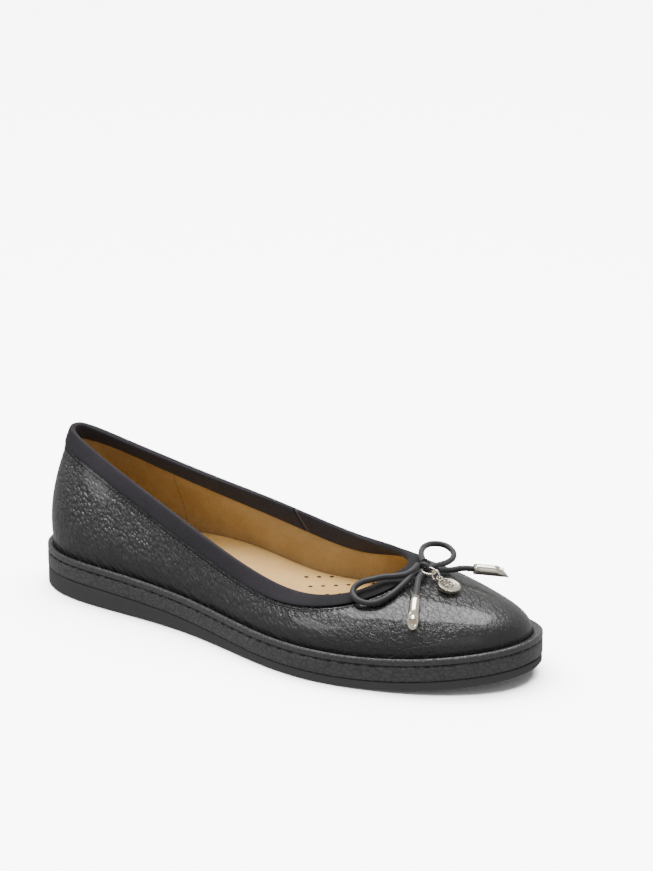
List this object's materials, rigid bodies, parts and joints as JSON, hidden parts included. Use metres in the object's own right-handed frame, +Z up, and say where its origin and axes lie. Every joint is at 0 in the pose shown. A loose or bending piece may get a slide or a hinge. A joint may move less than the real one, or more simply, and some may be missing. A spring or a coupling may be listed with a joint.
{
  "type": "ballet flat",
  "caption": "Low ballet flat for the right foot with a bound collar, stitched welt, covered midsole, rubber wedge outsole and a cord bow with metal tips and a round charm.",
  "frame": {"origin": "centre of the sole's outline on the floor", "axes": "+X towards the toe, +Y towards the inner (medial) side of the foot, +Z up"},
  "size_m": [0.253, 0.0896, 0.0723],
  "materials": {
    "outsole_rubber": "matt",
    "upper_leather": "tumbled grain with a soft gloss",
    "midsole_leather": "fine grain, semi-matt",
    "band_textile": "matt stretch tape",
    "insole_leather": "smooth, light gloss",
    "bow_cord": "matt elastic cord",
    "pale_metal": "polished, warm"
  },
  "bodies": {
    "root": {"outsole": "outsole_rubber", "midsole": "midsole_leather", "welt": "midsole_leather", "upper": "upper_leather", "collar_band": "band_textile", "insole": "insole_leather", "bow_loop_lateral": "bow_cord", "bow_loop_medial": "bow_cord", "bow_tail_lateral": "bow_cord", "bow_tail_medial": "bow_cord", "bow_knot": "bow_cord", "tip_lateral": "pale_metal", "tip_medial": "pale_metal", "ring_large": "pale_metal", "ring_small": "pale_metal", "charm": "pale_metal"}
  },
  "joints": []
}
